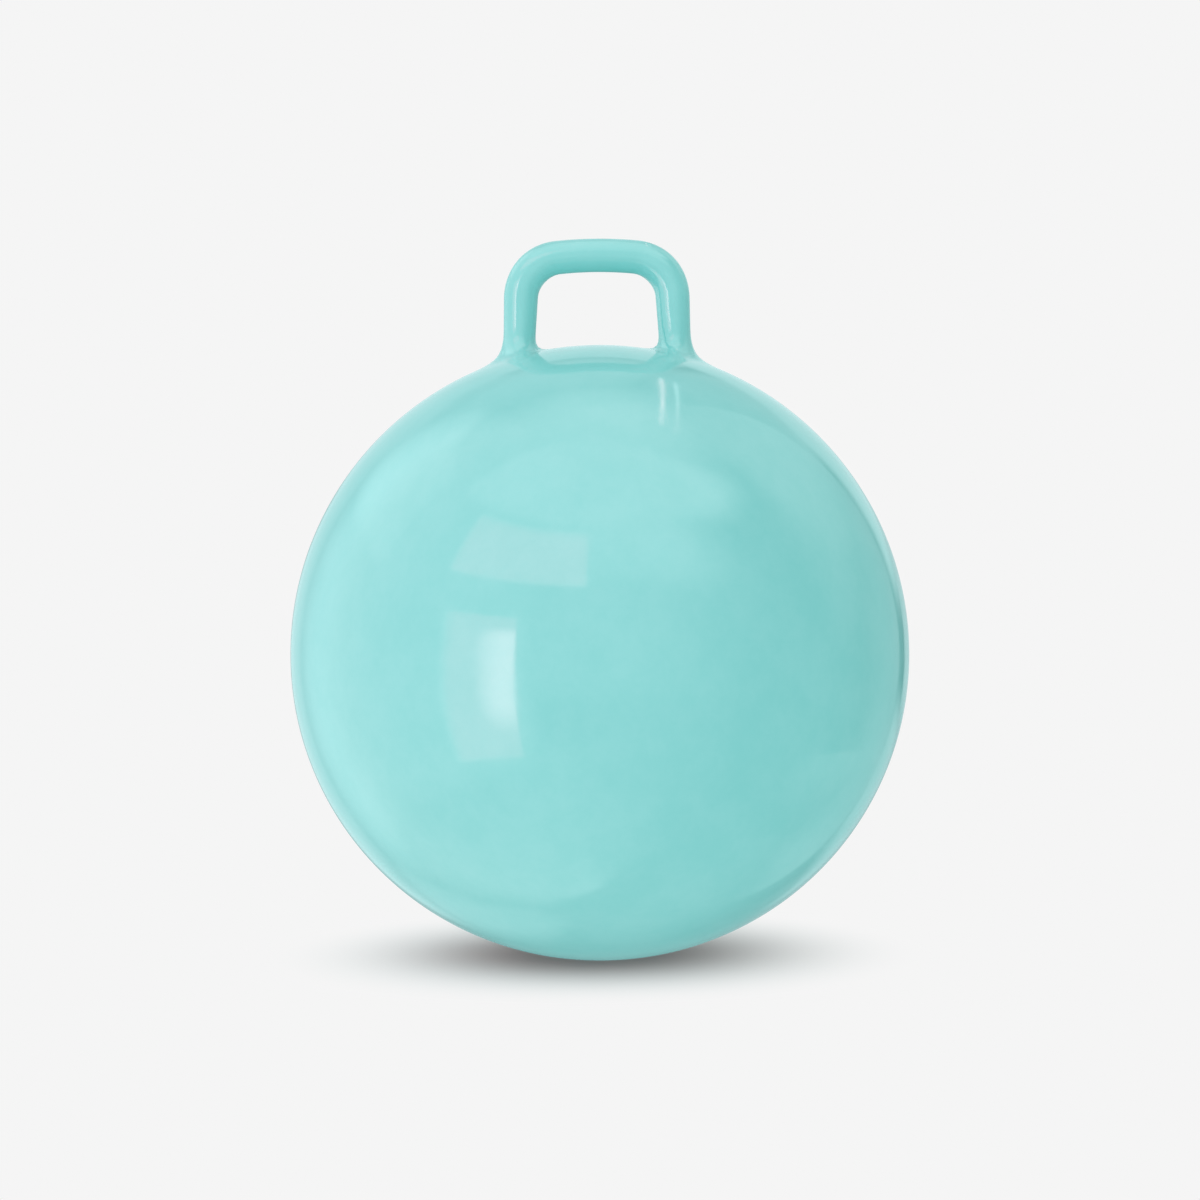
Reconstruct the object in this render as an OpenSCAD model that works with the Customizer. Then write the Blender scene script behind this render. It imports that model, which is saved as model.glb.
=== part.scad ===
// Hopper ball: a hollow vinyl ball with a loop handle on top and a push-in air plug at the back.
// All sizes are in millimetres. +Z is up, the floor is z = 0 and the ball stands over the origin.
// The loop handle lies in the XZ plane, and the air valve faces +Y.

/* [Ball] */
// Width of the pumped-up ball
ball_d = 450; // [420:10:600]
// Thickness of the stretched wall
wall_t = 1.2; // [0.8:0.1:2.5]
// How much the weight of the ball tightens the curve of its lower half
sag = 3; // [1:0.5:8]
// Radius of the flat patch that touches the floor
patch_r = 28; // [15:1:45]

/* [Handle] */
// Distance between the tops of the two legs, centre to centre
leg_spacing = 110; // [100:1:130]
// Angle by which each leg leans out on its way down
leg_splay = 2.6; // [0:0.2:5]
// Height of the grip's centre line over the top of the ball
grip_rise = 64.7; // [60:0.1:80]
// Bend of the centre line at each upper corner
corner_bend = 30; // [26:1:36]
// Radius of the gentle arch along the grip
grip_arch = 290; // [120:10:600]
// Thickness of the grip at its middle
grip_d = 24; // [20:0.2:28]
// Thickness at the corners, where the vinyl gathers in the mould
corner_d = 25.2; // [22:0.2:30]
// Thickness of a leg at its top
leg_top_d = 24.6; // [20:0.2:28]
// Thickness of a leg at its root
leg_d = 22.9; // [18:0.1:26]
// Wall of the hollow handle
handle_wall = 3; // [2:0.5:5]
// Height over the top of the ball where the roots begin to flare
flare_start = 5; // [3:0.5:10]
// Spread of each root over the ball, as a share of the flare's height
flare_spread = 1.05; // [0.6:0.05:1.2]

/* [Valve] */
// Angle of the valve above the widest line of the ball
valve_lift = 10; // [8:1:45]
// Bore that takes the plug, and a pump's nozzle when the plug is out
port_d = 7.9; // [6:0.1:9]
// Depth of the bore from the outside of the ball
port_depth = 18; // [14:1:24]
// Diameter of the round neck that fills the hole in the wall
neck_d = 18; // [17:0.5:22]
// Diameter of the flange against the inside of the wall
flange_d = 34; // [26:1:44]
// Thickness of that flange
flange_t = 2; // [1.5:0.5:3]
// Diameter of the plug's head
head_d = 14; // [12:0.2:14.4]
// Thickness of the plug's head
head_t = 2; // [1.4:0.2:2.6]
// Number of sealing ribs on the plug
rib_count = 3; // [2:1:3]

/* [Hidden] */
$fn = 180;

vinyl = [0.57, 0.86, 0.85];
plug_white = [0.93, 0.94, 0.92];

// Film between bonded pieces, and the plug's clearance in its seat
bond_gap = 0.05;
fit_gap = 0.05;

// Ball: a true half ball on top, and below it a tighter flank that ends at the flat patch
ball_r = ball_d / 2;
flank_r = ball_r - sag;
ball_z = sqrt(pow(flank_r, 2) - pow(patch_r - sag, 2));
ball_top = ball_z + ball_r;

// Handle: its centre line is an arched grip, two corner bends and two splayed legs.
// A turn is the angle of the handle's outward side from straight up.
grip_z = ball_top + grip_rise;
arch_z = grip_z - grip_arch;
corner_x = leg_spacing / 2 - corner_bend;
corner_z = arch_z + sqrt(pow(grip_arch - corner_bend, 2) - pow(corner_x, 2));
arch_turn = asin(corner_x / (grip_arch - corner_bend));
leg_turn = 90 - leg_splay;
leg_top_x = corner_x + corner_bend * sin(leg_turn);
leg_top_z = corner_z + corner_bend * cos(leg_turn);
flare_z = ball_top + flare_start;
flare_edge = 0.4;
leg_drop = leg_top_z - flare_z;
leg_x = leg_top_x + leg_drop * tan(leg_splay);
leg_bore_r = leg_d / 2 - handle_wall;

// Facets of the handle: points round a ring, and rings along each stretch
ring_sides = 28;
grip_rings = 4;
corner_rings = 8;
leg_rings = 3;
flare_rings = 7;
seat_rings = 3;

// Valve seat: barrel round the bore, recess for the plug's head, and fingernail notch in the neck's rim
port_r = port_d / 2;
neck_r = neck_d / 2;
head_r = head_d / 2;
barrel_wall = 3.5;
barrel_r = port_r + barrel_wall;
head_gap = 0.2;
recess_r = head_r + head_gap;
recess_t = head_t + head_gap;
mouth_chamfer = 0.8;
notch_share = 0.8;
notch_r = notch_share * (neck_r - recess_r);

// Plug: dimpled head, and a shank that reaches past the bore, with ribs that slope towards the tip
head_round = 0.7;
dimple_r = 2.6;
dimple_t = 0.5;
rib_r = port_r - fit_gap;
rib_proud = 0.6;
rib_len = 2.2;
rib_land = rib_len / 4;
shank_r = rib_r - rib_proud;
shank_reach = 1;
shank_len = port_depth - recess_t + shank_reach;
rib_pitch = (shank_len - rib_len) / rib_count;
tip_len = 2;
tip_r = shank_r - tip_len / 2;

// Half section of the ball, drawn inset from its outside, to be turned about the upright axis
module ball_section(inset) {
    lower_h = ball_z - inset;
    translate([0, ball_z]) intersection() {
        circle(r = ball_r - inset);
        square(ball_d);
    }
    translate([sag, ball_z]) intersection() {
        circle(r = flank_r - inset);
        translate([0, -lower_h]) square([ball_d, lower_h]);
    }
    translate([0, inset]) square([sag, lower_h]);
}

// Places its children on the valve's axis, with their z measured from the centre of the ball
module on_valve_axis() {
    translate([0, 0, ball_z]) rotate([valve_lift - 90, 0, 0]) children();
}

// Ball wall, with the holes under the two legs and the hole for the valve's neck
module ball_shell() {
    color(vinyl) difference() {
        rotate_extrude() ball_section(0);
        rotate_extrude() ball_section(wall_t);
        for (side = [-1, 1])
            translate([side * leg_x, 0, ball_z]) cylinder(r = leg_bore_r, h = ball_d);
        on_valve_axis() cylinder(r = neck_r + bond_gap, h = ball_d);
    }
}

// Height of the ball's outside at a point of the plan, within its upper half
function ball_height(p) = ball_z + sqrt(ball_r * ball_r - p.x * p.x - p.y * p.y);

// Thickness of the grip and the corners at a turn
function tube_d(turn) =
    let (plain = grip_d + (leg_top_d - grip_d) * turn / leg_turn)
    let (swell = corner_d - (grip_d + leg_top_d) / 2)
    plain + swell * pow(sin(180 * turn / leg_turn), 2);

// Half of the centre line as [x, z, turn, thickness], from beside the grip's middle to the flare
half_line = concat(
    [for (k = [1 : grip_rings])
        let (turn = arch_turn * k / grip_rings)
        [grip_arch * sin(turn), arch_z + grip_arch * cos(turn), turn, tube_d(turn)]],
    [for (k = [1 : corner_rings])
        let (turn = arch_turn + (leg_turn - arch_turn) * k / corner_rings)
        [corner_x + corner_bend * sin(turn), corner_z + corner_bend * cos(turn), turn, tube_d(turn)]],
    [for (k = [1 : leg_rings])
        let (part = k / leg_rings)
        [leg_top_x + part * (leg_x - leg_top_x), leg_top_z - part * leg_drop,
            leg_turn, leg_top_d + part * (leg_d - leg_top_d)]]);

// The whole centre line, from the left leg over the grip to the right leg
centre_line = concat(
    [for (k = [len(half_line) - 1 : -1 : 0])
        [-half_line[k][0], half_line[k][1], -half_line[k][2], half_line[k][3]]],
    [[0, grip_z, 0, grip_d]],
    half_line);

ring_angles = [for (j = [0 : ring_sides - 1]) 360 * j / ring_sides];

// A ring of points round the centre line, drawn inset from the handle's outside
function tube_ring(at, inset) =
    let (r = at[3] / 2 - inset)
    [for (q = ring_angles)
        [at[0] + r * cos(q) * sin(at[2]), r * sin(q), at[1] + r * cos(q) * cos(at[2])]];

// Plan direction of a root's ring at one angle, a point of the plan at radius r round the leg,
// and the point where the flare runs out on the ball
function root_way(side, q) = [side * cos(q), sin(q)];
function root_point(side, q, r) = [side * leg_x, 0] + r * root_way(side, q);
function flare_reach(side, q) = flare_spread * (flare_z - ball_height(root_point(side, q, leg_d / 2)));
function flare_end(side, q) = root_point(side, q, leg_d / 2 + flare_reach(side, q));

// A ring of the flare: t = 0 is the end of the leg, and t = 1 lies tangent on the ball
function flare_ring(side, t) =
    [for (q = ring_angles)
        let (reach = flare_reach(side, q))
        let (end = flare_end(side, q))
        let (end_z = ball_height(end) + flare_edge)
        let (bend_z = end_z + reach * (end * root_way(side, q)) / (end_z - ball_z))
        let (p = root_point(side, q, leg_d / 2 + t * t * reach))
        [p.x, p.y, (1 - t) * (1 - t) * flare_z + 2 * t * (1 - t) * bend_z + t * t * end_z]];

// A ring of the face that is bonded to the ball: v = 0 is the flare's edge, and v = 1 the bore
function seat_ring(side, v) =
    [for (q = ring_angles)
        let (p = (1 - v) * flare_end(side, q) + v * root_point(side, q, leg_bore_r))
        [p.x, p.y, ball_height(p) + bond_gap]];

// The handle's skin as one closed run of rings: outside, right root, inside, left root
handle_skin = concat(
    [for (k = [flare_rings : -1 : 1]) flare_ring(-1, k / flare_rings)],
    [for (at = centre_line) tube_ring(at, 0)],
    [for (k = [1 : flare_rings]) flare_ring(1, k / flare_rings)],
    [for (k = [0 : seat_rings]) seat_ring(1, k / seat_rings)],
    [for (k = [len(centre_line) - 1 : -1 : 0]) tube_ring(centre_line[k], handle_wall)],
    [for (k = [seat_rings : -1 : 0]) seat_ring(-1, k / seat_rings)]);

// Triangles between neighbouring rings, the last ring closing on the first
function skin_faces(rings, sides) =
    [for (i = [0 : rings - 1], j = [0 : sides - 1])
        let (a = i * sides + j)
        let (b = i * sides + (j + 1) % sides)
        let (c = ((i + 1) % rings) * sides + (j + 1) % sides)
        let (d = ((i + 1) % rings) * sides + j)
        each [[a, b, c], [a, c, d]]];

// Hollow loop handle with flared roots that lie on the ball
module handle_loop() {
    color(vinyl) polyhedron(
        points = [for (ring = handle_skin) each ring],
        faces = skin_faces(len(handle_skin), ring_sides),
        convexity = 8);
}

// Half section of the valve seat: neck, flange and barrel, less the plug's recess and the port
module seat_section() {
    wall_in = ball_r - wall_t - bond_gap;
    recess_z = ball_r - recess_t;
    difference() {
        union() {
            intersection() {
                circle(r = ball_r);
                translate([0, wall_in - flange_t]) square([neck_r, ball_r]);
            }
            intersection() {
                difference() {
                    circle(r = wall_in);
                    circle(r = wall_in - flange_t);
                }
                square([flange_d / 2, ball_r]);
            }
            translate([0, ball_r - port_depth])
                square([barrel_r, port_depth - wall_t - flange_t]);
        }
        translate([0, recess_z]) square([recess_r, ball_r]);
        translate([0, ball_r - 2 * port_depth]) square([port_r, 2 * port_depth]);
        translate([0, recess_z])
            polygon([[0, 0], [0, -mouth_chamfer], [port_r, -mouth_chamfer], [port_r + mouth_chamfer, 0]]);
    }
}

// Valve seat, with a notch in its rim for a fingernail to lift the plug
module valve_seat() {
    color(vinyl) on_valve_axis() difference() {
        rotate_extrude() seat_section();
        translate([0, -recess_r, ball_r - recess_t]) cylinder(r = notch_r, h = port_depth);
    }
}

// Half section of the plug: dimpled head, plain shank, pointed tip and sealing ribs
module plug_section() {
    difference() {
        union() {
            square([head_r - head_round, head_t]);
            square([head_r, head_t - head_round]);
            translate([head_r - head_round, head_t - head_round]) circle(r = head_round);
        }
        translate([0, head_t - dimple_t]) square([dimple_r, head_t]);
    }
    translate([0, -shank_len]) square([shank_r, shank_len]);
    translate([0, -shank_len])
        polygon([[0, 0], [0, -tip_len], [tip_r, -tip_len], [shank_r, 0]]);
    for (k = [1 : rib_count])
        translate([0, -k * rib_pitch])
            polygon([[0, 0], [0, -rib_len], [shank_r, -rib_len], [rib_r, -rib_land], [rib_r, 0]]);
}

// Push-in plug, its head just under the outside of the ball
module valve_plug() {
    color(plug_white) on_valve_axis()
        translate([0, 0, ball_r - recess_t + fit_gap]) rotate_extrude() plug_section();
}

ball_shell();
handle_loop();
valve_seat();
valve_plug();
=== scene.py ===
"""Hopper ball: a pumped-up mint vinyl ball with a loop handle and a push-in air plug.

All lengths are in metres. The floor is z = 0, the loop lies in the XZ plane, the camera looks
along +Y and the air valve is on the far side.
"""
import math

import bmesh
import bpy
import numpy as np
from mathutils import Matrix, Vector


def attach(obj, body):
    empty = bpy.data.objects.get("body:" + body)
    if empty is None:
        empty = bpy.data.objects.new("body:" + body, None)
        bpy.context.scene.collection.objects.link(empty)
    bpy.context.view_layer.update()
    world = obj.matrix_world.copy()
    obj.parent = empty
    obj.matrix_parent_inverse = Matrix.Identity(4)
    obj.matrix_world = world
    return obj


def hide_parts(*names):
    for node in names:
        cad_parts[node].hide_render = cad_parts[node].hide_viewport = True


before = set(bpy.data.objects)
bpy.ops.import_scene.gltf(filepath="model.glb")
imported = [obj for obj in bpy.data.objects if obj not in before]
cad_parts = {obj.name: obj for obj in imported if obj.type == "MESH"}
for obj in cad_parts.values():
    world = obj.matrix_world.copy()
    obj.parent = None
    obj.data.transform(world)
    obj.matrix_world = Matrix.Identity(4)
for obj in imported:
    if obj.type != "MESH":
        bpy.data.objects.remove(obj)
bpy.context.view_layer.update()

MM = 0.001

# Ball: a true half ball on top, a tighter flank below it, and a rolled edge round the floor patch
BALL_R = 225 * MM
SAG = 3 * MM
PATCH_R = 28 * MM
LIP_R = 60 * MM
FLANK_R = BALL_R - SAG
BALL_Z = math.sqrt(FLANK_R ** 2 - (PATCH_R - SAG) ** 2)
BALL_TOP = BALL_Z + BALL_R
LIP_X = SAG + math.sqrt((FLANK_R - LIP_R) ** 2 - (BALL_Z - LIP_R) ** 2)
LIP_SLOPE = (LIP_X - SAG) / (BALL_Z - LIP_R)
WALL = 1.2 * MM

# Handle: arched grip, two corner bends and two splayed legs. A turn is measured from straight up.
LEG_SPACING = 110 * MM
LEG_SPLAY = math.radians(2.6)
GRIP_RISE = 64.7 * MM
GRIP_ARCH = 290 * MM
CORNER_BEND = 30 * MM
GRIP_R = 12.0 * MM
CORNER_R = 12.6 * MM
LEG_TOP_R = 12.3 * MM
LEG_ROOT_R = 11.45 * MM
FLARE_START = 5 * MM
HANDLE_WALL = 3 * MM
ARCH_Z = BALL_TOP + GRIP_RISE - GRIP_ARCH
CORNER_X = LEG_SPACING / 2 - CORNER_BEND
CORNER_Z = ARCH_Z + math.sqrt((GRIP_ARCH - CORNER_BEND) ** 2 - CORNER_X ** 2)
ARCH_TURN = math.asin(CORNER_X / (GRIP_ARCH - CORNER_BEND))
LEG_TURN = math.pi / 2 - LEG_SPLAY
LEG_TOP_X = CORNER_X + CORNER_BEND * math.sin(LEG_TURN)
LEG_TOP_Z = CORNER_Z + CORNER_BEND * math.cos(LEG_TURN)
LEG_LEN = (LEG_TOP_Z - BALL_TOP - FLARE_START) / math.cos(LEG_SPLAY)
LEG_ROOT_X = LEG_TOP_X + LEG_LEN * math.sin(LEG_SPLAY)
LEG_SUNK = 60 * MM

# The two arcs of half the loop: centre x and z, bend, first and last turn
HANDLE_ARCS = ((0, ARCH_Z, GRIP_ARCH, 0, ARCH_TURN),
               (CORNER_X, CORNER_Z, CORNER_BEND, ARCH_TURN, LEG_TURN))

# Moulded fillets where the legs grow out of the ball: fuller on the outer side, and by FILLET_FRONT
# at the front and the back
FILLET_OUTER = 24.0 * MM
FILLET_INNER = 14.7 * MM
FILLET_FRONT = 18.0 * MM

# Mesh of the skin: a rough blank of even faces, drawn on to the true surface in a few rounds.
# LEAST_STEEP limits a point's step where the distance hardly changes.
BLANK_TUBE_SIDES = 20
BLANK_BALL_SIDES = 96
BLANK_BALL_RINGS = 64
SKIN_VOXEL = 3.7 * MM
LINING_VOXEL = 6.0 * MM
SLOPE_STEP = 0.02 * MM
LEAST_STEEP = 0.05
EVEN_ROUNDS = 4

# A corner is shaded by the true surface if it lies this near to it and faces this much its way
ON_SKIN = 0.1 * MM
SAME_WAY = 0.8

# Parting line of the mould: a round bead, mostly sunk in the skin
BEAD_R = 0.5 * MM
BEAD_PROUD = 0.07 * MM
BEAD_STEP = 3 * MM
BEAD_SIDES = 10
BALL_SEAM_POINTS = 400
GAP_SEAM_POINTS = 30

# Valve: the collar in the wall, and the cutters that reach past the wall for its hole and its notch
VALVE_LIFT = math.radians(10)
VALVE_WAY = Vector((0, math.cos(VALVE_LIFT), math.sin(VALVE_LIFT)))
VALVE_AT = Vector((0, 0, BALL_Z)) + BALL_R * VALVE_WAY
NECK_R = 9.0 * MM
NECK_GROOVE = 0.25 * MM
PORT_R = 3.95 * MM
PORT_DEPTH = 18 * MM
RECESS_R = 7.2 * MM
RECESS_DEPTH = 2.2 * MM
BARREL_R = 7.45 * MM
FLANGE_R = 17 * MM
FLANGE_T = 2 * MM
FLANGE_GAP = 0.05 * MM
NOTCH_R = 1.44 * MM
HOLE_CUT = 6 * MM
NOTCH_CUT = 4 * MM
COLLAR_CREASE = math.radians(35)

# Plug: its head has a dimple in the middle, a shallow land round it and a rolled rim
HEAD_R = 7.0 * MM
HEAD_T = 2.0 * MM
HEAD_GAP = 0.05 * MM
DIMPLE_R = 2.6 * MM
DIMPLE_DEPTH = 0.55 * MM
LAND_IN_R = 3.4 * MM
LAND_OUT_R = 5.4 * MM
LAND_DEPTH = 0.12 * MM
RIM_IN_R = 5.9 * MM
SHANK_R = 3.3 * MM
SHANK_LEN = 16.8 * MM
TIP_LEN = 2 * MM
TIP_R = SHANK_R - TIP_LEN / 2
RIB_COUNT = 3
RIB_R = 3.9 * MM
RIB_PITCH = SHANK_LEN / (RIB_COUNT + 1)
RIB_BEAD_SIDES = 16
PLUG_CREASE = math.radians(40)

# Turned pieces
LATHE_SIDES = 72
MERGE_GAP = 0.002 * MM

# Colours, in linear light
VINYL_DEEP = (0.238, 0.690, 0.668)
VINYL_PALE = (0.266, 0.712, 0.692)
PLUG_WHITE = (0.80, 0.81, 0.79)
PLUG_PALE = (0.84, 0.85, 0.84)
WHITE = (1, 1, 1)
BACKGROUND = (0.913, 0.913, 0.913)

# Moulded plastic: the stretch of noise that clouds the colour, and the finer one that hazes the gloss
PLASTIC_IOR = 1.5
CLOUD_NOISE = (0.3, 0.7)
HAZE_NOISE = (0.35, 0.75)
HAZE_FINER = 2.3


# Node helpers

def place(tree, kind, inputs=None, **settings):
    """Adds a node. Settings are its own choices, and inputs go to its sockets by name or number.

    An input is a constant or another node's output, and a constant colour is opaque.
    """
    node = tree.nodes.new(kind)
    for name, value in settings.items():
        setattr(node, name, value)
    for key, value in (inputs or {}).items():
        socket = node.inputs[key]
        if isinstance(value, bpy.types.NodeSocket):
            tree.links.new(value, socket)
        elif socket.type == "RGBA":
            socket.default_value = (*value, 1)
        else:
            socket.default_value = value
    return node


def maths(tree, operation, *values):
    """Adds a Math node and returns its result."""
    return place(tree, "ShaderNodeMath", dict(enumerate(values)), operation=operation).outputs[0]


def ramp(tree, value, low, high, to_low=0.0, to_high=1.0):
    """Adds a smooth step from to_low at low to to_high at high, and returns its result."""
    sides = {"Value": value, "From Min": low, "From Max": high, "To Min": to_low, "To Max": to_high}
    return place(tree, "ShaderNodeMapRange", sides, interpolation_type="SMOOTHSTEP").outputs[0]


def blend(tree, share, first, second):
    """Adds a mix of two colours, and returns its result."""
    # Sockets 6 and 7 are the colours, whose names other sockets share
    ends = {0: share, 6: first, 7: second}
    return place(tree, "ShaderNodeMix", ends, data_type="RGBA").outputs[2]


def node_group(kind, name, inputs, outputs):
    """Makes an empty node group with named sockets, and returns it with its input and output nodes."""
    tree = bpy.data.node_groups.new(name, kind)
    for socket, (socket_kind, value) in inputs.items():
        made = tree.interface.new_socket(socket, in_out="INPUT", socket_type=socket_kind)
        if value is not None:
            made.default_value = value
    for socket, socket_kind in outputs.items():
        tree.interface.new_socket(socket, in_out="OUTPUT", socket_type=socket_kind)
    return tree, tree.nodes.new("NodeGroupInput"), tree.nodes.new("NodeGroupOutput")


def set_inputs(modifier, values):
    """Sets inputs of a geometry nodes modifier, given by name."""
    for item in modifier.node_group.interface.items_tree:
        if item.item_type == "SOCKET" and item.in_out == "INPUT" and item.name in values:
            modifier[item.identifier] = values[item.name]


# Mesh helpers

def new_object(name, mesh):
    """Links a mesh to the scene as an object at the origin."""
    made = bpy.data.objects.new(name, mesh)
    bpy.context.scene.collection.objects.link(made)
    return made


def settle(made, name):
    """Turns an object's evaluated mesh into a plain one, and removes the object."""
    shown = made.evaluated_get(bpy.context.evaluated_depsgraph_get())
    mesh = bpy.data.meshes.new_from_object(shown)
    mesh.name = name
    bpy.data.objects.remove(made)
    return mesh


def form_mesh(name, form, material=None):
    """Turns a form under work into a mesh, with a material if one is given."""
    mesh = bpy.data.meshes.new(name)
    form.to_mesh(mesh)
    form.free()
    if material:
        mesh.materials.append(material)
    return mesh


def column(rows, field, width, kind):
    """One field of a mesh's points, edges, faces or corners, as an array."""
    values = np.empty(len(rows) * width, kind)
    rows.foreach_get(field, values)
    return values.reshape(-1, width) if width > 1 else values


# Surfaces

def mould_texture():
    """Shader group for moulded plastic: slow clouding of the colour, fine peel and patchy gloss."""
    tree, given, result = node_group(
        "ShaderNodeTree", "mould_texture",
        {"Vector": ("NodeSocketVector", None),
         "Cloud Scale": ("NodeSocketFloat", 12.0),
         "Peel Scale": ("NodeSocketFloat", 260.0)},
        {"Cloud": "NodeSocketFloat", "Peel": "NodeSocketFloat", "Haze": "NodeSocketFloat"})
    at = given.outputs["Vector"]
    cloud_scale = given.outputs["Cloud Scale"]
    cloud = place(tree, "ShaderNodeTexNoise",
                  {"Vector": at, "Scale": cloud_scale, "Detail": 8.0, "Roughness": 0.7})
    peel = place(tree, "ShaderNodeTexNoise",
                 {"Vector": at, "Scale": given.outputs["Peel Scale"], "Detail": 2.0})
    haze_scale = maths(tree, "MULTIPLY", cloud_scale, HAZE_FINER)
    haze = place(tree, "ShaderNodeTexNoise", {"Vector": at, "Scale": haze_scale, "Detail": 4.0})
    found = {"Cloud": ramp(tree, cloud.outputs[0], *CLOUD_NOISE),
             "Peel": peel.outputs[0],
             "Haze": ramp(tree, haze.outputs[0], *HAZE_NOISE)}
    for socket, value in found.items():
        tree.links.new(value, result.inputs[socket])
    return tree


def empty_material(name):
    """A material with no nodes but the one that gives the place on the piece, for its patterns."""
    made = bpy.data.materials.new(name)
    made.use_nodes = True
    tree = made.node_tree
    tree.nodes.clear()
    return made, tree, place(tree, "ShaderNodeTexCoord").outputs["Object"]


def moulded_plastic(name, colours, roughness, cloud_scale, peel_scale, peel_height):
    """Moulded plastic between two close colours and two values of roughness."""
    made, tree, where = empty_material(name)
    texture = place(tree, "ShaderNodeGroup",
                    {"Vector": where, "Cloud Scale": cloud_scale, "Peel Scale": peel_scale},
                    node_tree=MOULD_TEXTURE)
    bump = place(tree, "ShaderNodeBump",
                 {"Height": texture.outputs["Peel"], "Strength": 1.0, "Distance": peel_height})
    shader = place(tree, "ShaderNodeBsdfPrincipled",
                   {"Base Color": blend(tree, texture.outputs["Cloud"], *colours),
                    "Roughness": ramp(tree, texture.outputs["Haze"], 0, 1, *roughness),
                    "IOR": PLASTIC_IOR,
                    "Normal": bump.outputs[0]})
    place(tree, "ShaderNodeOutputMaterial", {"Surface": shader.outputs[0]})
    return made


# Shape of the skin, as a distance that is zero on its surface

def ball_gap(points):
    """Distance of points from the outside of the ball, below zero inside it."""
    out = np.hypot(points[:, 0], points[:, 1])
    z = points[:, 2]
    up = z - BALL_Z
    top = np.hypot(out, up) - BALL_R
    flank = np.hypot(out - SAG, up) - FLANK_R
    lip = np.where(out < LIP_X, -z, np.hypot(out - LIP_X, z - LIP_R) - LIP_R)
    below = np.where(out - SAG < -LIP_SLOPE * up, lip, flank)
    return np.where(up > 0, top, below)


def tube_radius(turn):
    """Radius of the grip and the corners at a turn: a little fuller at the corners."""
    plain = GRIP_R + (LEG_TOP_R - GRIP_R) * turn / LEG_TURN
    swell = CORNER_R - (GRIP_R + LEG_TOP_R) / 2
    return plain + swell * np.sin(np.pi * turn / LEG_TURN) ** 2


def handle_gap(points):
    """Distance of points from the outside of the handle's tube, which runs on into the ball."""
    x, y, z = np.abs(points[:, 0]), points[:, 1], points[:, 2]
    gaps = []
    for centre_x, centre_z, bend, first, last in HANDLE_ARCS:
        turn = np.clip(np.arctan2(x - centre_x, z - centre_z), first, last)
        off_x = x - centre_x - bend * np.sin(turn)
        off_z = z - centre_z - bend * np.cos(turn)
        gaps.append(np.sqrt(off_x ** 2 + y ** 2 + off_z ** 2) - tube_radius(turn))
    way_x, way_z = math.sin(LEG_SPLAY), -math.cos(LEG_SPLAY)
    along = np.clip((x - LEG_TOP_X) * way_x + (z - LEG_TOP_Z) * way_z, 0, LEG_LEN + LEG_SUNK)
    off_x = x - LEG_TOP_X - along * way_x
    off_z = z - LEG_TOP_Z - along * way_z
    taper = np.clip(along / LEG_LEN, 0, 1)
    radius = LEG_TOP_R + (LEG_ROOT_R - LEG_TOP_R) * taper
    gaps.append(np.sqrt(off_x ** 2 + y ** 2 + off_z ** 2) - radius)
    return np.minimum.reduce(gaps)


def skin_gap(points, lining=False):
    """Distance from the outside of the moulding, or from the lining of its hollow."""
    ball = ball_gap(points) + (WALL if lining else 0)
    loop = handle_gap(points) + (HANDLE_WALL if lining else 0)
    side = np.clip((np.abs(points[:, 0]) - LEG_ROOT_X) / LEG_ROOT_R, -1, 1)
    fillet = (FILLET_INNER + (FILLET_OUTER - FILLET_INNER) * (side + 1) / 2
              + FILLET_FRONT * (1 - side ** 2))
    near = np.clip(fillet - np.abs(ball - loop), 0, None)
    # A cubic blend, so that the curvature has no step where a fillet begins
    return np.minimum(ball, loop) - near ** 3 / (6 * fillet ** 2)


def skin_slope(points, lining=False):
    """Direction in which the distance grows fastest, and how fast."""
    slope = np.empty_like(points)
    for axis in range(3):
        step = np.zeros(3)
        step[axis] = SLOPE_STEP
        ahead = skin_gap(points + step, lining)
        behind = skin_gap(points - step, lining)
        slope[:, axis] = (ahead - behind) / (2 * SLOPE_STEP)
    return slope


def onto_skin(points, lining=False, passes=4):
    """Moves points straight on to the surface."""
    for _ in range(passes):
        slope = skin_slope(points, lining)
        steep = np.maximum((slope ** 2).sum(1), LEAST_STEEP)
        points = points - slope * (skin_gap(points, lining) / steep)[:, None]
    return points


# Ball and handle

def handle_line(step, inset=0.0):
    """Points and radii along the handle's centre line, from one sunk leg over the grip to the other."""
    half = []
    for centre_x, centre_z, bend, first, last in HANDLE_ARCS:
        for turn in np.arange(first, last, step / bend):
            half.append((centre_x + bend * math.sin(turn), centre_z + bend * math.cos(turn),
                         tube_radius(turn)))
    for along in np.arange(0, LEG_LEN + LEG_SUNK, step):
        taper = min(along / LEG_LEN, 1)
        half.append((LEG_TOP_X + along * math.sin(LEG_SPLAY), LEG_TOP_Z - along * math.cos(LEG_SPLAY),
                     LEG_TOP_R + (LEG_ROOT_R - LEG_TOP_R) * taper))
    right = [((x, 0, z), radius - inset) for x, z, radius in half]
    left = [((-x, 0, z), radius - inset) for x, z, radius in half[:0:-1]]
    return left + right


def line_mesh(name, line, closed=False):
    """A run of edges with a radius at each point, for a tube to follow."""
    count = len(line)
    edges = [(k, (k + 1) % count) for k in range(count if closed else count - 1)]
    mesh = bpy.data.meshes.new(name)
    mesh.from_pydata([at for at, _ in line], edges, [])
    radii = mesh.attributes.new("half_thickness", "FLOAT", "POINT")
    radii.data.foreach_set("value", [radius for _, radius in line])
    return mesh


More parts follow.
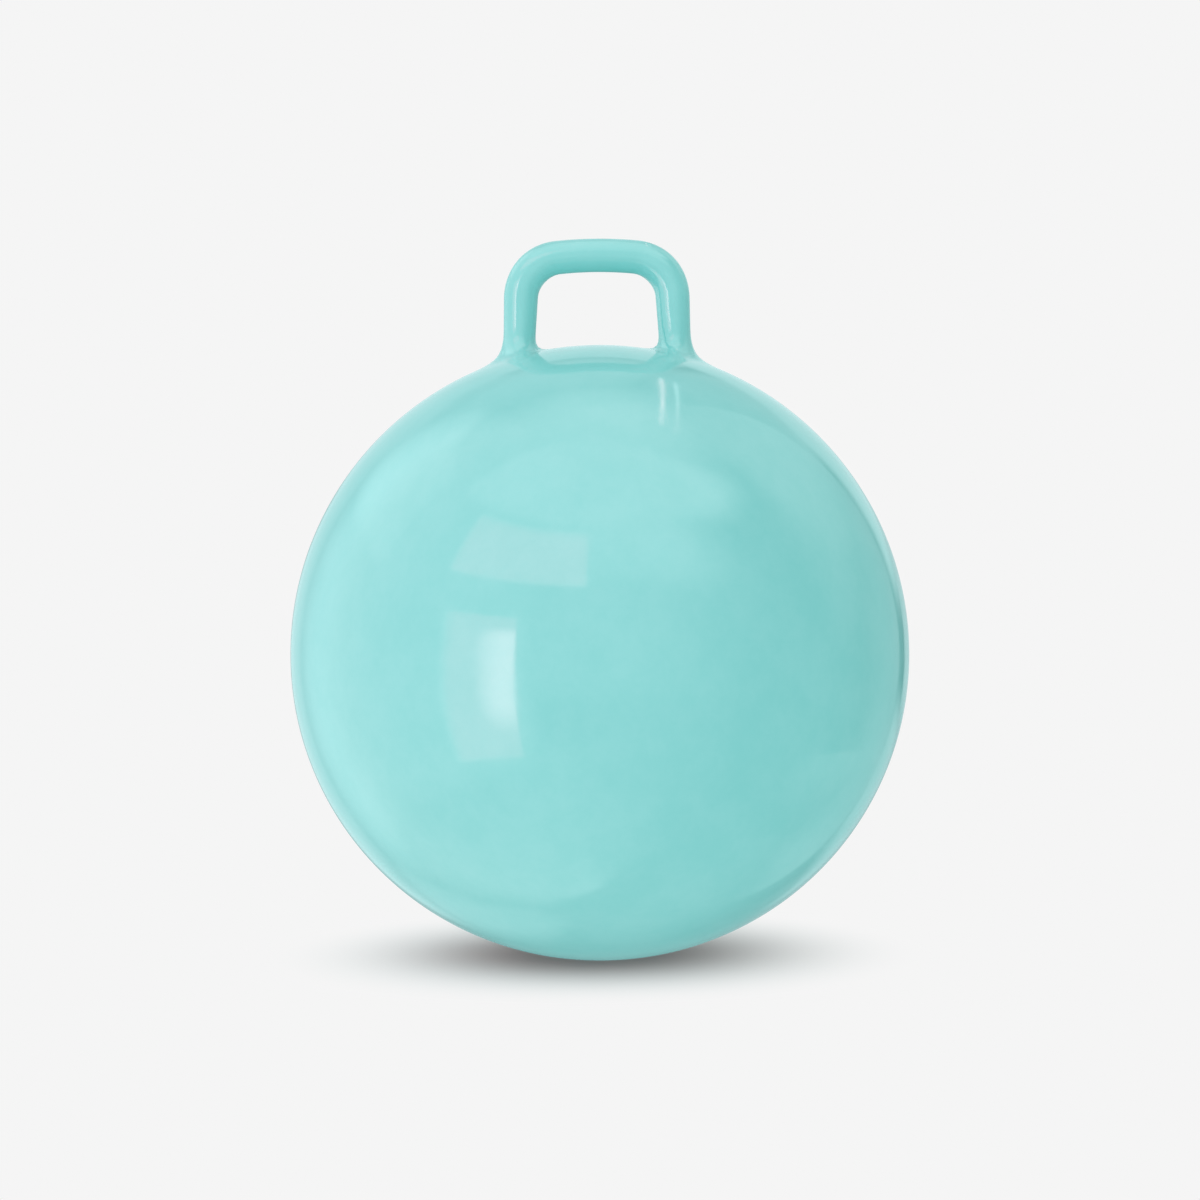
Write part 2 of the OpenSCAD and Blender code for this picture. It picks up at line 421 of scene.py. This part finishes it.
def tube_nodes():
    """Geometry nodes that run a round tube along a line, as thick as the line's points say."""
    tree, given, result = node_group(
        "GeometryNodeTree", "tube_along_line",
        {"Geometry": ("NodeSocketGeometry", None),
         "Sides": ("NodeSocketInt", 16),
         "Material": ("NodeSocketMaterial", None)},
        {"Geometry": "NodeSocketGeometry"})
    line = place(tree, "GeometryNodeMeshToCurve", {0: given.outputs["Geometry"]})
    radius = place(tree, "GeometryNodeInputNamedAttribute", {"Name": "half_thickness"},
                   data_type="FLOAT")
    ring = place(tree, "GeometryNodeCurvePrimitiveCircle",
                 {"Resolution": given.outputs["Sides"], "Radius": 1.0})
    tube = place(tree, "GeometryNodeCurveToMesh",
                 {"Curve": line.outputs[0], "Profile Curve": ring.outputs[0],
                  "Scale": radius.outputs[0], "Fill Caps": True})
    real = place(tree, "GeometryNodeRealizeInstances", {0: tube.outputs[0]})
    dressed = place(tree, "GeometryNodeSetMaterial",
                    {"Geometry": real.outputs[0], "Material": given.outputs["Material"]})
    tree.links.new(dressed.outputs[0], result.inputs[0])
    return tree


def tube_mesh(name, line, sides, material, closed=False):
    """A round tube along a line, as a plain mesh."""
    made = new_object(name, line_mesh(name, line, closed))
    modifier = made.modifiers.new("tube", "NODES")
    modifier.node_group = TUBE_NODES
    set_inputs(modifier, {"Sides": sides, "Material": material})
    return settle(made, name)


def blank(name, voxel, lining):
    """Rough closed blank of ball and handle in one skin of even small faces: points, faces and edges."""
    inset = HANDLE_WALL if lining else 0.0
    form = bmesh.new()
    form.from_mesh(tube_mesh(name, handle_line(voxel, inset), BLANK_TUBE_SIDES, VINYL))
    at_centre = Matrix.Translation((0, 0, BALL_Z))
    bmesh.ops.create_uvsphere(form, u_segments=BLANK_BALL_SIDES, v_segments=BLANK_BALL_RINGS,
                              radius=BALL_R - (WALL if lining else 0), matrix=at_centre)
    bmesh.ops.recalc_face_normals(form, faces=form.faces)
    made = new_object(name, form_mesh(name, form))
    remesh = made.modifiers.new("even", "REMESH")
    remesh.mode = "VOXEL"
    remesh.voxel_size = voxel
    mesh = settle(made, name)
    points = column(mesh.vertices, "co", 3, np.float32).astype(float)
    faces = [tuple(face.vertices) for face in mesh.polygons]
    return points, faces, column(mesh.edges, "vertices", 2, np.int32)


def even_out(points, edges):
    """Moves each point to the middle of its neighbours."""
    count = len(points)
    ends = np.concatenate([edges, edges[:, ::-1]])
    degree = np.bincount(ends[:, 0], minlength=count)
    moved = [np.bincount(ends[:, 0], weights=points[ends[:, 1], axis], minlength=count)
             for axis in range(3)]
    return np.stack(moved, 1) / degree[:, None]


def drawn_skin(name, voxel, lining=False):
    """The blank with its points drawn on to the true surface and spread evenly over it."""
    points, faces, edges = blank(name, voxel, lining)
    points = onto_skin(points, lining)
    for _ in range(EVEN_ROUNDS):
        points = onto_skin(even_out(points, edges), lining, passes=2)
    points = onto_skin(points, lining)
    if lining:
        faces = [face[::-1] for face in faces]
    return points, faces


def valve_turn():
    """Puts a piece drawn along +Z, with z = 0 on the outside of the ball, on the valve's axis."""
    tip_over = Vector((0, 0, 1)).rotation_difference(VALVE_WAY)
    return Matrix.Translation(VALVE_AT) @ tip_over.to_matrix().to_4x4()


def cut_away(mesh, name, radius, low, high, offset=(0, 0)):
    """Cuts a round hole into a mesh, along the valve's axis."""
    cutter = bmesh.new()
    turn = valve_turn() @ Matrix.Translation((*offset, (low + high) / 2))
    bmesh.ops.create_cone(cutter, cap_ends=True, segments=LATHE_SIDES, radius1=radius, radius2=radius,
                          depth=high - low, matrix=turn)
    tool = new_object(name + "_cutter", form_mesh(name + "_cutter", cutter))
    made = new_object(name, mesh)
    boolean = made.modifiers.new("hole", "BOOLEAN")
    boolean.operation = "DIFFERENCE"
    boolean.solver = "MANIFOLD"
    boolean.object = tool
    cut = settle(made, name)
    bpy.data.objects.remove(tool)
    return cut


def true_normals(mesh):
    """Shades the skin by its exact surface, and the edge of a cut by its own faces."""
    points = column(mesh.vertices, "co", 3, np.float32).astype(float)
    corner_points = column(mesh.loops, "vertex_index", 1, np.int32)
    sizes = column(mesh.polygons, "loop_total", 1, np.int32)
    flat = np.repeat(column(mesh.polygons, "normal", 3, np.float32), sizes, axis=0)
    normals = flat.copy()
    for lining, way in ((False, 1), (True, -1)):
        slope = way * skin_slope(points, lining)
        slope /= np.linalg.norm(slope, axis=1)[:, None]
        on_skin = np.abs(skin_gap(points, lining)) < ON_SKIN
        turned = slope[corner_points]
        agrees = on_skin[corner_points] & ((turned * flat).sum(1) > SAME_WAY)
        normals[agrees] = turned[agrees]
    mesh.shade_smooth()
    mesh.normals_split_custom_set(normals.tolist())


def ball_and_handle():
    """The vinyl moulding: ball and handle in one hollow skin, with the hole for the valve."""
    outside, faces = drawn_skin("skin", SKIN_VOXEL)
    inside, lining_faces = drawn_skin("lining", LINING_VOXEL, lining=True)
    first = len(outside)
    faces = faces + [tuple(first + k for k in face) for face in lining_faces]
    mesh = bpy.data.meshes.new("ball_and_handle")
    mesh.from_pydata(np.concatenate([outside, inside]).tolist(), [], faces)
    mesh.materials.append(VINYL)
    mesh = cut_away(mesh, "ball_and_handle", NECK_R + NECK_GROOVE, -HOLE_CUT, HOLE_CUT)
    true_normals(mesh)
    made = new_object("ball_and_handle", mesh)
    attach(made, "ball")
    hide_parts("ball_shell", "handle_loop")


# Parting line

def evenly(points, step):
    """A closed run of points at an even step."""
    loop = np.concatenate([points, points[:1]])
    run = np.concatenate([[0], np.cumsum(np.linalg.norm(np.diff(loop, axis=0), axis=1))])
    places = np.linspace(0, run[-1], int(run[-1] / step), endpoint=False)
    return np.stack([np.interp(places, run, loop[:, axis]) for axis in range(3)], 1)


def ball_arc(first, last, count):
    """Points round the ball's outline in the XZ plane, from turn to turn."""
    turns = np.linspace(first, last, count)
    return np.stack([BALL_R * np.sin(turns), 0 * turns, BALL_Z + BALL_R * np.cos(turns)], 1)


def seam_lines():
    """The two closed outlines of the moulding in the XZ plane: outside it, and inside the loop."""
    line = [(np.array(at), radius) for at, radius in handle_line(BEAD_STEP) if at[2] > BALL_TOP]
    ahead = np.gradient(np.array([at for at, _ in line]), axis=0)
    ahead /= np.linalg.norm(ahead, axis=1)[:, None]
    up = np.stack([-ahead[:, 2], np.zeros(len(line)), ahead[:, 0]], 1)
    over = np.array([at + radius * way for (at, radius), way in zip(line, up)])
    under = np.array([at - radius * way for (at, radius), way in zip(line, up)])
    root = math.asin((LEG_ROOT_X + LEG_ROOT_R + FILLET_OUTER) / BALL_R)
    round_ball = ball_arc(root, 2 * math.pi - root, BALL_SEAM_POINTS)
    gap = math.asin((LEG_ROOT_X - LEG_ROOT_R - FILLET_INNER) / BALL_R)
    between = ball_arc(gap, -gap, GAP_SEAM_POINTS)
    seams = []
    for rough in (np.concatenate([over, round_ball]), np.concatenate([under, between])):
        seams.append(onto_skin(evenly(onto_skin(evenly(rough, BEAD_STEP)), BEAD_STEP)))
    return seams


def parting_line():
    """The faint line that the two halves of the mould leave round the ball and the handle."""
    form = bmesh.new()
    for seam in seam_lines():
        sunk = seam - skin_slope(seam) * (BEAD_R - BEAD_PROUD)
        line = [(at, BEAD_R) for at in sunk.tolist()]
        form.from_mesh(tube_mesh("bead", line, BEAD_SIDES, VINYL, closed=True))
    mesh = form_mesh("parting_line", form, VINYL)
    mesh.shade_smooth()
    made = new_object("parting_line", mesh)
    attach(made, "ball")


# Valve

def rounded(corner, before, after, radius, steps=5):
    """Points of a curve that rounds one corner of an outline."""
    corner, before, after = (np.array(p, float) for p in (corner, before, after))
    to_before = (before - corner) / np.linalg.norm(before - corner)
    to_after = (after - corner) / np.linalg.norm(after - corner)
    half = math.acos(np.clip(to_before @ to_after, -1, 1)) / 2
    start = corner + to_before * radius / math.tan(half)
    end = corner + to_after * radius / math.tan(half)
    weights = np.linspace(0, 1, steps + 1)
    return [tuple((1 - t) ** 2 * start + 2 * t * (1 - t) * corner + t ** 2 * end) for t in weights]


def outline(corners):
    """An outline from (out, up, rounding) corners, each rounded as it says."""
    made = []
    for k, (out, up, radius) in enumerate(corners):
        before, after = corners[k - 1][:2], corners[(k + 1) % len(corners)][:2]
        made += rounded((out, up), before, after, radius) if radius else [(out, up)]
    return made


def lathe(name, section, material, closed=False):
    """Turns a section, drawn as (out, up), round the valve's axis into a mesh with outward faces."""
    form = bmesh.new()
    points = [form.verts.new((out, 0, up)) for out, up in section]
    pairs = list(zip(points, points[1:] + points[:1]))
    edges = [form.edges.new(pair) for pair in (pairs if closed else pairs[:-1])]
    bmesh.ops.spin(form, geom=points + edges, cent=(0, 0, 0), axis=(0, 0, 1), angle=2 * math.pi,
                   steps=LATHE_SIDES, use_merge=True)
    bmesh.ops.remove_doubles(form, verts=form.verts, dist=MERGE_GAP)
    bmesh.ops.recalc_face_normals(form, faces=form.faces)
    mesh = form_mesh(name, form, material)
    mesh.transform(valve_turn())
    return mesh


def sink(out):
    """How far the ball's outside lies below the valve's mouth, at a distance from its axis."""
    return math.sqrt(BALL_R ** 2 - out ** 2) - BALL_R


def valve_collar():
    """The seat bonded into the wall: rounded neck, flange behind the wall, barrel and bore."""
    wall_back = -(WALL + FLANGE_GAP)
    section = outline([
        (PORT_R, -PORT_DEPTH, 0.3 * MM),
        (PORT_R, -RECESS_DEPTH, 0.8 * MM),
        (RECESS_R, -RECESS_DEPTH, 0.25 * MM),
        (RECESS_R, sink(RECESS_R), 0.4 * MM),
        (NECK_R, sink(NECK_R), 0.45 * MM),
        (NECK_R, wall_back + sink(NECK_R), 0),
        (FLANGE_R, wall_back + sink(FLANGE_R), 0.4 * MM),
        (FLANGE_R, wall_back + sink(FLANGE_R) - FLANGE_T, 0.6 * MM),
        (BARREL_R, wall_back + sink(BARREL_R) - FLANGE_T, 0.6 * MM),
        (BARREL_R, -PORT_DEPTH, 0.6 * MM)])
    mesh = lathe("valve_collar", section, VINYL, closed=True)
    mesh = cut_away(mesh, "valve_collar", NOTCH_R, -RECESS_DEPTH, NOTCH_CUT, offset=(0, -RECESS_R))
    mesh.shade_smooth()
    mesh.set_sharp_from_angle(angle=COLLAR_CREASE)
    made = new_object("valve_collar", mesh)
    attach(made, "ball")
    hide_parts("valve_seat")


def rib_nodes():
    """Geometry nodes that repeat a rounded sealing rib along a straight shank."""
    tree, given, result = node_group(
        "GeometryNodeTree", "sealing_ribs",
        {"Geometry": ("NodeSocketGeometry", None),
         "Count": ("NodeSocketInt", RIB_COUNT),
         "Pitch": ("NodeSocketFloat", RIB_PITCH),
         "Ring Radius": ("NodeSocketFloat", SHANK_R),
         "Rib Radius": ("NodeSocketFloat", RIB_R - SHANK_R),
         "Material": ("NodeSocketMaterial", None)},
        {"Geometry": "NodeSocketGeometry"})
    down = maths(tree, "MULTIPLY", given.outputs["Pitch"], -1.0)
    drop = place(tree, "ShaderNodeCombineXYZ", {"Z": down}).outputs[0]
    row = place(tree, "GeometryNodeMeshLine",
                {"Count": given.outputs["Count"], "Start Location": drop, "Offset": drop})
    ring = place(tree, "GeometryNodeCurvePrimitiveCircle",
                 {"Resolution": LATHE_SIDES, "Radius": given.outputs["Ring Radius"]})
    bead = place(tree, "GeometryNodeCurvePrimitiveCircle",
                 {"Resolution": RIB_BEAD_SIDES, "Radius": given.outputs["Rib Radius"]})
    rib = place(tree, "GeometryNodeCurveToMesh",
                {"Curve": ring.outputs[0], "Profile Curve": bead.outputs[0]})
    ribs = place(tree, "GeometryNodeInstanceOnPoints",
                 {"Points": row.outputs[0], "Instance": rib.outputs[0]})
    real = place(tree, "GeometryNodeRealizeInstances", {0: ribs.outputs[0]})
    dressed = place(tree, "GeometryNodeSetMaterial",
                    {"Geometry": real.outputs[0], "Material": given.outputs["Material"]})
    tree.links.new(dressed.outputs[0], result.inputs[0])
    return tree


def plug_ribs():
    """The plug's sealing ribs, as a mesh on the valve's axis."""
    made = new_object("plug_ribs", bpy.data.meshes.new("plug_ribs"))
    modifier = made.modifiers.new("ribs", "NODES")
    modifier.node_group = rib_nodes()
    set_inputs(modifier, {"Count": RIB_COUNT, "Pitch": RIB_PITCH, "Ring Radius": SHANK_R,
                          "Rib Radius": RIB_R - SHANK_R, "Material": PLUG_PLASTIC})
    mesh = settle(made, "plug_ribs")
    mesh.transform(valve_turn() @ Matrix.Translation((0, 0, -RECESS_DEPTH)))
    return mesh


def valve_plug():
    """The push-in plug: dimpled head with a rolled rim, round shank with ribs and a tapered tip."""
    seat = -RECESS_DEPTH + HEAD_GAP
    top = seat + HEAD_T
    section = outline([
        (0, top - DIMPLE_DEPTH, 0),
        (DIMPLE_R, top - DIMPLE_DEPTH, 0.5 * MM),
        (LAND_IN_R, top - LAND_DEPTH, 0.5 * MM),
        (LAND_OUT_R, top - LAND_DEPTH, 0.4 * MM),
        (RIM_IN_R, top, 0.3 * MM),
        (HEAD_R, top, 0.6 * MM),
        (HEAD_R, seat, 0.35 * MM),
        (SHANK_R, seat, 0.3 * MM),
        (SHANK_R, seat - SHANK_LEN, 0.5 * MM),
        (TIP_R, seat - SHANK_LEN - TIP_LEN, 0.5 * MM),
        (0, seat - SHANK_LEN - TIP_LEN, 0)])
    form = bmesh.new()
    form.from_mesh(lathe("valve_plug_body", section, PLUG_PLASTIC))
    form.from_mesh(plug_ribs())
    mesh = form_mesh("air_plug", form, PLUG_PLASTIC)
    mesh.shade_smooth()
    mesh.set_sharp_from_angle(angle=PLUG_CREASE)
    made = new_object("air_plug", mesh)
    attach(made, "plug")
    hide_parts("valve_plug")


# Stage

# Studio as the ball sees it, in degrees: azimuth 0 is towards the camera and grows to the right.
# Each panel's edges are (angle, width of the soft edge), and tilt slants its level edges. A panel
# is open on a side for which it gives no edge.
STUDIO_GLOOM = 0.06
STUDIO = {
    "left wall": dict(left=(-165, 48), right=(-14, 16), low=(-66, 36), strength=2.0),
    "left wall top": dict(left=(-165, 40), right=(-93, 4), low=(8, 18), high=(62.5, 14), strength=2.4),
    "front wall": dict(left=(-40, 4), right=(74, 72), low=(-30, 25), strength=1.5),
    "front wall top": dict(left=(-12, 8), right=(72, 40), low=(12, 28), high=(62, 10), strength=2.3),
    "right wall": dict(left=(85, 25), right=(147, 3), low=(-4, 44), strength=1.1),
    "right wall side": dict(left=(108, 24), right=(147, 3), low=(-60, 20), strength=0.5),
    "rear wall, left": dict(right=(-148, 4), low=(-50, 40), high=(34, 2), strength=0.55),
    "rear wall, right": dict(left=(152, 4), low=(-50, 40), high=(24, 2), strength=0.55),
    "rear wall band, right": dict(left=(152, 4), low=(-16, 10), high=(20, 10), strength=0.7),
    "rear wall low, right": dict(left=(142, 6), right=(170, 6), low=(-34, 12), high=(-6, 6),
                                 strength=0.7),
    "rear wall side": dict(left=(-174, 10), right=(-132, 16), low=(-50, 30), high=(34, 2),
                           strength=1.0),
    "rear wall top, left": dict(right=(-140, 10), low=(-4, 9), high=(34, 2), strength=0.95),
    "rear wall top, middle": dict(left=(166, 6), low=(-4, 9), high=(34, 2), strength=0.95),
    "rear wall top, right": dict(left=(143, 9), low=(-4, 9), high=(32, 9), strength=0.95),
    "rear glow, left": dict(right=(-140, 8), low=(22, 22), high=(80, 20), strength=1.0),
    "rear glow, right": dict(left=(158, 14), low=(22, 22), high=(80, 20), strength=1.0),
    "rear glow side, left": dict(left=(-172, 8), right=(-134, 8), low=(26, 6), high=(80, 20),
                                 strength=0.85),
    "rear glow side, right": dict(left=(134, 8), right=(172, 8), low=(17, 8), high=(80, 20),
                                  strength=0.72),
    "ceiling": dict(low=(42, 38), strength=2.2),
    "ceiling, left": dict(left=(-108, 30), right=(10, 30), low=(42, 12), strength=2.7),
    "ceiling, right": dict(left=(-20, 10), right=(108, 42), low=(40, 14), strength=2.6),
    "table": dict(high=(-35, 40), strength=0.4),
    "table, left": dict(left=(-165, 55), right=(40, 65), high=(-4, 30), strength=1.5),
    "table, rear left": dict(left=(-178, 20), right=(-118, 30), low=(-80, 20), high=(-22, 14),
                             strength=0.9),
    "table, front": dict(left=(-40, 4), right=(74, 72), high=(0, 10), strength=1.0),
    "table, right": dict(left=(80, 20), right=(150, 4), low=(-64, 18), high=(-46.1, 1.2), tilt=0.215,
                         strength=0.55),
    "window": dict(left=(-67, 5), right=(-3, 3), low=(27.8, 2), high=(54, 8), strength=4.0),
    "softbox": dict(left=(-68, 14), right=(-30, 1), low=(-33, 2), high=(17.5, 1), strength=4.0),
    "softbox middle": dict(left=(-58, 24), right=(-30, 1), low=(-36, 26), high=(17.5, 8), strength=8.5),
}
NO_EDGE = {"left": (-200, 1), "right": (200, 1), "low": (-300, 1), "high": (300, 1)}

# Two tube lights that run from front to back under the ceiling, brighter at the front end. The
# slant to the right is in degrees, and the rest is measured on directions of length 1. A light is
# full in the middle of its width, up to 1 / TUBE_LIGHT_FADE.
TUBE_LIGHTS = (
    dict(slant=16.1, skew=0.0425, width=0.007, front=0.19, strength=6.4),
    dict(slant=20.2, skew=0.062, width=0.011, front=0.12, strength=2.3),
)
TUBE_LIGHT_BACK = 0.66
TUBE_LIGHT_SOFT = 0.04
TUBE_LIGHT_GAIN = 1.5
TUBE_LIGHT_FADE = 3

# Soft light on matt surfaces: an even level, and how it grows to the right, away and up. It is cool
# from the front left and warm from the back right.
SOFT_LEVEL = 0.82
SOFT_SLOPES = (-0.09, -0.19, 0.06)
COOL_LIGHT = (0.99, 1.0, 1.03)
WARM_LIGHT = (1.01, 1.0, 0.97)

# Tints of the studio in gloss: the lamps, over a stretch of brightness, and the rear wall, over a
# stretch of how far a direction points away
LAMP_TINT = (1.0, 0.64, 0.68)
LAMP_BRIGHT = (2.4, 4.0)
REAR_TINT = (0.80, 1.0, 1.02)
REAR_AWAY = (0.2, 0.75)


def studio_panel():
    """Shader group for one bright panel of the studio, with a soft edge on each side."""
    sockets = ["Azimuth", "Elevation", "Strength"]
    for edge in NO_EDGE:
        sockets += [edge, edge + " soft"]
    tree, given, result = node_group(
        "ShaderNodeTree", "studio_panel",
        {name: ("NodeSocketFloat", 0.0) for name in sockets}, {"Light": "NodeSocketFloat"})
    light = given.outputs["Strength"]
    for angle, edge, sign in (("Azimuth", "left", 1.0), ("Azimuth", "right", -1.0),
                              ("Elevation", "low", 1.0), ("Elevation", "high", -1.0)):
        inward = maths(tree, "SUBTRACT", given.outputs[angle], given.outputs[edge])
        inward = maths(tree, "MULTIPLY", inward, sign)
        light = maths(tree, "MULTIPLY", light, ramp(tree, inward, 0.0, given.outputs[edge + " soft"]))
    tree.links.new(light, result.inputs[0])
    return tree


def studio_panels(tree, azimuth, elevation):
    """The brightest panel in each direction."""
    group = studio_panel()
    light = STUDIO_GLOOM
    for panel in STUDIO.values():
        slanted = maths(tree, "MULTIPLY", azimuth, panel.get("tilt", 0.0))
        level = maths(tree, "SUBTRACT", elevation, slanted)
        inputs = {"Azimuth": azimuth, "Elevation": level, "Strength": panel["strength"]}
        for edge, plain in NO_EDGE.items():
            inputs[edge], inputs[edge + " soft"] = panel.get(edge, plain)
        shown = place(tree, "ShaderNodeGroup", inputs, node_tree=group)
        light = maths(tree, "MAXIMUM", shown.outputs[0], light)
    return light


def tube_lights(tree, light, x, y, z):
    """Adds the thin tube lights to the panels."""
    back = ramp(tree, y, TUBE_LIGHT_BACK + TUBE_LIGHT_SOFT, TUBE_LIGHT_BACK - TUBE_LIGHT_SOFT)
    over = maths(tree, "GREATER_THAN", z, 0.0)
    for lamp in TUBE_LIGHTS:
        front = ramp(tree, y, lamp["front"] - TUBE_LIGHT_SOFT, lamp["front"] + TUBE_LIGHT_SOFT)
        gain = ramp(tree, y, lamp["front"], TUBE_LIGHT_BACK, TUBE_LIGHT_GAIN, 1.0)
        along = maths(tree, "MULTIPLY", maths(tree, "MULTIPLY", front, back), gain)
        turn = math.radians(lamp["slant"])
        aside = maths(tree, "SUBTRACT", maths(tree, "MULTIPLY", x, math.cos(turn)),
                      maths(tree, "MULTIPLY", z, math.sin(turn)))
        aside = maths(tree, "ADD", aside, maths(tree, "MULTIPLY", y, lamp["skew"]))
        off = maths(tree, "ABSOLUTE", aside)
        across = ramp(tree, off, lamp["width"], lamp["width"] / TUBE_LIGHT_FADE)
        glow = maths(tree, "MULTIPLY", maths(tree, "MULTIPLY", along, across), over)
        light = maths(tree, "MAXIMUM", light, maths(tree, "MULTIPLY", glow, lamp["strength"]))
    return light


def panel_tint(tree, panels, away):
    """Colour of the studio in gloss: white, but rosy in the lamps and minty at the rear."""
    walls = blend(tree, ramp(tree, away, *REAR_AWAY), WHITE, REAR_TINT)
    return blend(tree, ramp(tree, panels, *LAMP_BRIGHT), walls, LAMP_TINT)


def studio_world():
    """Soft light all round for matt surfaces, the studio in gloss, and a pale ground behind."""
    world = bpy.data.worlds.new("studio")
    bpy.context.scene.world = world
    world.use_nodes = True
    tree = world.node_tree
    tree.nodes.clear()
    way = place(tree, "ShaderNodeTexCoord").outputs["Generated"]
    x, y, z = place(tree, "ShaderNodeSeparateXYZ", {0: way}).outputs
    azimuth = maths(tree, "DEGREES", maths(tree, "ARCTAN2", x, maths(tree, "MULTIPLY", y, -1.0)))
    elevation = maths(tree, "DEGREES", maths(tree, "ARCSINE", z))
    panels = tube_lights(tree, studio_panels(tree, azimuth, elevation), x, y, z)
    soft = SOFT_LEVEL
    for axis, slope in zip((x, y, z), SOFT_SLOPES):
        soft = maths(tree, "ADD", maths(tree, "MULTIPLY", axis, slope), soft)
    tint = blend(tree, ramp(tree, maths(tree, "ADD", x, y), -1.0, 1.0), COOL_LIGHT, WARM_LIGHT)
    path = place(tree, "ShaderNodeLightPath")
    even = place(tree, "ShaderNodeBackground", {"Color": tint, "Strength": soft})
    studio = place(tree, "ShaderNodeBackground",
                   {"Color": panel_tint(tree, panels, y), "Strength": panels})
    ground = place(tree, "ShaderNodeBackground", {"Color": BACKGROUND, "Strength": 1.0})
    lit = place(tree, "ShaderNodeMixShader",
                {0: path.outputs["Is Glossy Ray"], 1: even.outputs[0], 2: studio.outputs[0]})
    shown = place(tree, "ShaderNodeMixShader",
                  {0: path.outputs["Is Camera Ray"], 1: lit.outputs[0], 2: ground.outputs[0]})
    place(tree, "ShaderNodeOutputWorld", {"Surface": shown.outputs[0]})


# Floor: the shadow shows near the ball, and further out the floor melts into the pale ground
FLOOR_R = 600 * MM
FLOOR_SIDES = 128
FLOOR_DROP = 0.2 * MM
SHADOW_CORE = 40 * MM
SHADOW_REACH = 242 * MM
SHADOW_SQUEEZE = 1.28
SHADOW_ASIDE = 5 * MM
GLOSS_REACH = 150 * MM
FLOOR_GLOW = 0.94
FLOOR_WHITE = (0.90, 0.85, 0.85)
# Painted shadow: the floor's colour near the ball is darker, deepening its shadow, and rosy to cancel the
# mint light that the ball bounces on to it
PAINTED_SHADOW_ROSY = (0.57, 0.265, 0.27)
# Painted shade: a dark glowing patch, seen only in gloss, standing in for the shadowed floor under the
# ball
PAINTED_CONTACT_SHADE = (0.16, 0.30, 0.30)


def floor_material():
    """Pale floor: matt to the eye, glowing to matt surfaces, and in gloss a dark patch under the ball."""
    made, tree, where = empty_material("pale_floor")
    aside = place(tree, "ShaderNodeVectorMath", {0: where, 1: (SHADOW_ASIDE, 0, 0)}, operation="ADD")
    squeezed = place(tree, "ShaderNodeVectorMath", {0: aside.outputs[0], 1: (1, SHADOW_SQUEEZE, 1)},
                     operation="MULTIPLY")
    length = place(tree, "ShaderNodeVectorMath", {0: squeezed.outputs[0]}, operation="LENGTH")
    out = length.outputs["Value"]
    away = ramp(tree, out, SHADOW_CORE, SHADOW_REACH)
    path = place(tree, "ShaderNodeLightPath")
    # The matt colour paints a darker, rosy shadow near the ball, fading to FLOOR_WHITE further out
    matt = place(tree, "ShaderNodeBsdfDiffuse", {"Color": blend(tree, away, PAINTED_SHADOW_ROSY, FLOOR_WHITE)})
    ground = place(tree, "ShaderNodeEmission", {"Color": BACKGROUND, "Strength": 1.0})
    seen = place(tree, "ShaderNodeMixShader", {0: away, 1: matt.outputs[0], 2: ground.outputs[0]})
    glow = place(tree, "ShaderNodeEmission", {"Color": WHITE, "Strength": FLOOR_GLOW})
    # Painted shade for gloss: dark under the ball, fading out by GLOSS_REACH
    shade = place(tree, "ShaderNodeEmission", {"Color": PAINTED_CONTACT_SHADE, "Strength": 1.0})
    clear = place(tree, "ShaderNodeBsdfTransparent")
    beyond = ramp(tree, out, SHADOW_CORE, GLOSS_REACH)
    patch = place(tree, "ShaderNodeMixShader", {0: beyond, 1: shade.outputs[0], 2: clear.outputs[0]})
    unseen = place(tree, "ShaderNodeMixShader",
                   {0: path.outputs["Is Glossy Ray"], 1: glow.outputs[0], 2: patch.outputs[0]})
    shown = place(tree, "ShaderNodeMixShader",
                  {0: path.outputs["Is Camera Ray"], 1: unseen.outputs[0], 2: seen.outputs[0]})
    place(tree, "ShaderNodeOutputMaterial", {"Surface": shown.outputs[0]})
    return made


def floor():
    """Pale round floor under the ball."""
    form = bmesh.new()
    bmesh.ops.create_circle(form, cap_ends=True, segments=FLOOR_SIDES, radius=FLOOR_R)
    made = new_object("floor", form_mesh("floor", form, floor_material()))
    made.location.z = -FLOOR_DROP


# Camera: a little above the ball's middle, aimed above it, with a slight roll. Sensor and lens are
# in millimetres, as the camera's own settings are.
CAMERA_RISE = math.radians(5)
CAMERA_AWAY = 2.2
CAMERA_ROLL = math.radians(-0.5)
SENSOR = 36
LENS = 90.28
SHIFT = 0.0005
AIM_UP = 39.4 * MM


def camera():
    """Long-lens camera in front of the ball."""
    data = bpy.data.cameras.new("camera")
    data.sensor_width = SENSOR
    data.lens = LENS
    data.shift_x = SHIFT
    made = bpy.data.objects.new("camera", data)
    bpy.context.scene.collection.objects.link(made)
    centre = Vector((0, 0, BALL_Z))
    ahead = Vector((0, math.cos(CAMERA_RISE), -math.sin(CAMERA_RISE)))
    up = Vector((0, math.sin(CAMERA_RISE), math.cos(CAMERA_RISE)))
    made.location = centre - ahead * CAMERA_AWAY
    sight = (centre + up * AIM_UP - made.location).normalized()
    level = sight.to_track_quat("-Z", "Y").to_matrix().to_4x4()
    made.rotation_euler = (level @ Matrix.Rotation(CAMERA_ROLL, 4, "Z")).to_euler()
    bpy.context.scene.camera = made


# Scene

bpy.context.scene.view_settings.view_transform = "Standard"
MOULD_TEXTURE = mould_texture()
VINYL = moulded_plastic("mint_vinyl", colours=(VINYL_DEEP, VINYL_PALE), roughness=(0.07, 0.11),
                        cloud_scale=26.0, peel_scale=240.0, peel_height=0.008 * MM)
PLUG_PLASTIC = moulded_plastic("white_plug", colours=(PLUG_WHITE, PLUG_PALE), roughness=(0.32, 0.42),
                               cloud_scale=60.0, peel_scale=1500.0, peel_height=0.03 * MM)
TUBE_NODES = tube_nodes()

camera()
studio_world()
floor()
ball_and_handle()
parting_line()
valve_collar()
valve_plug()
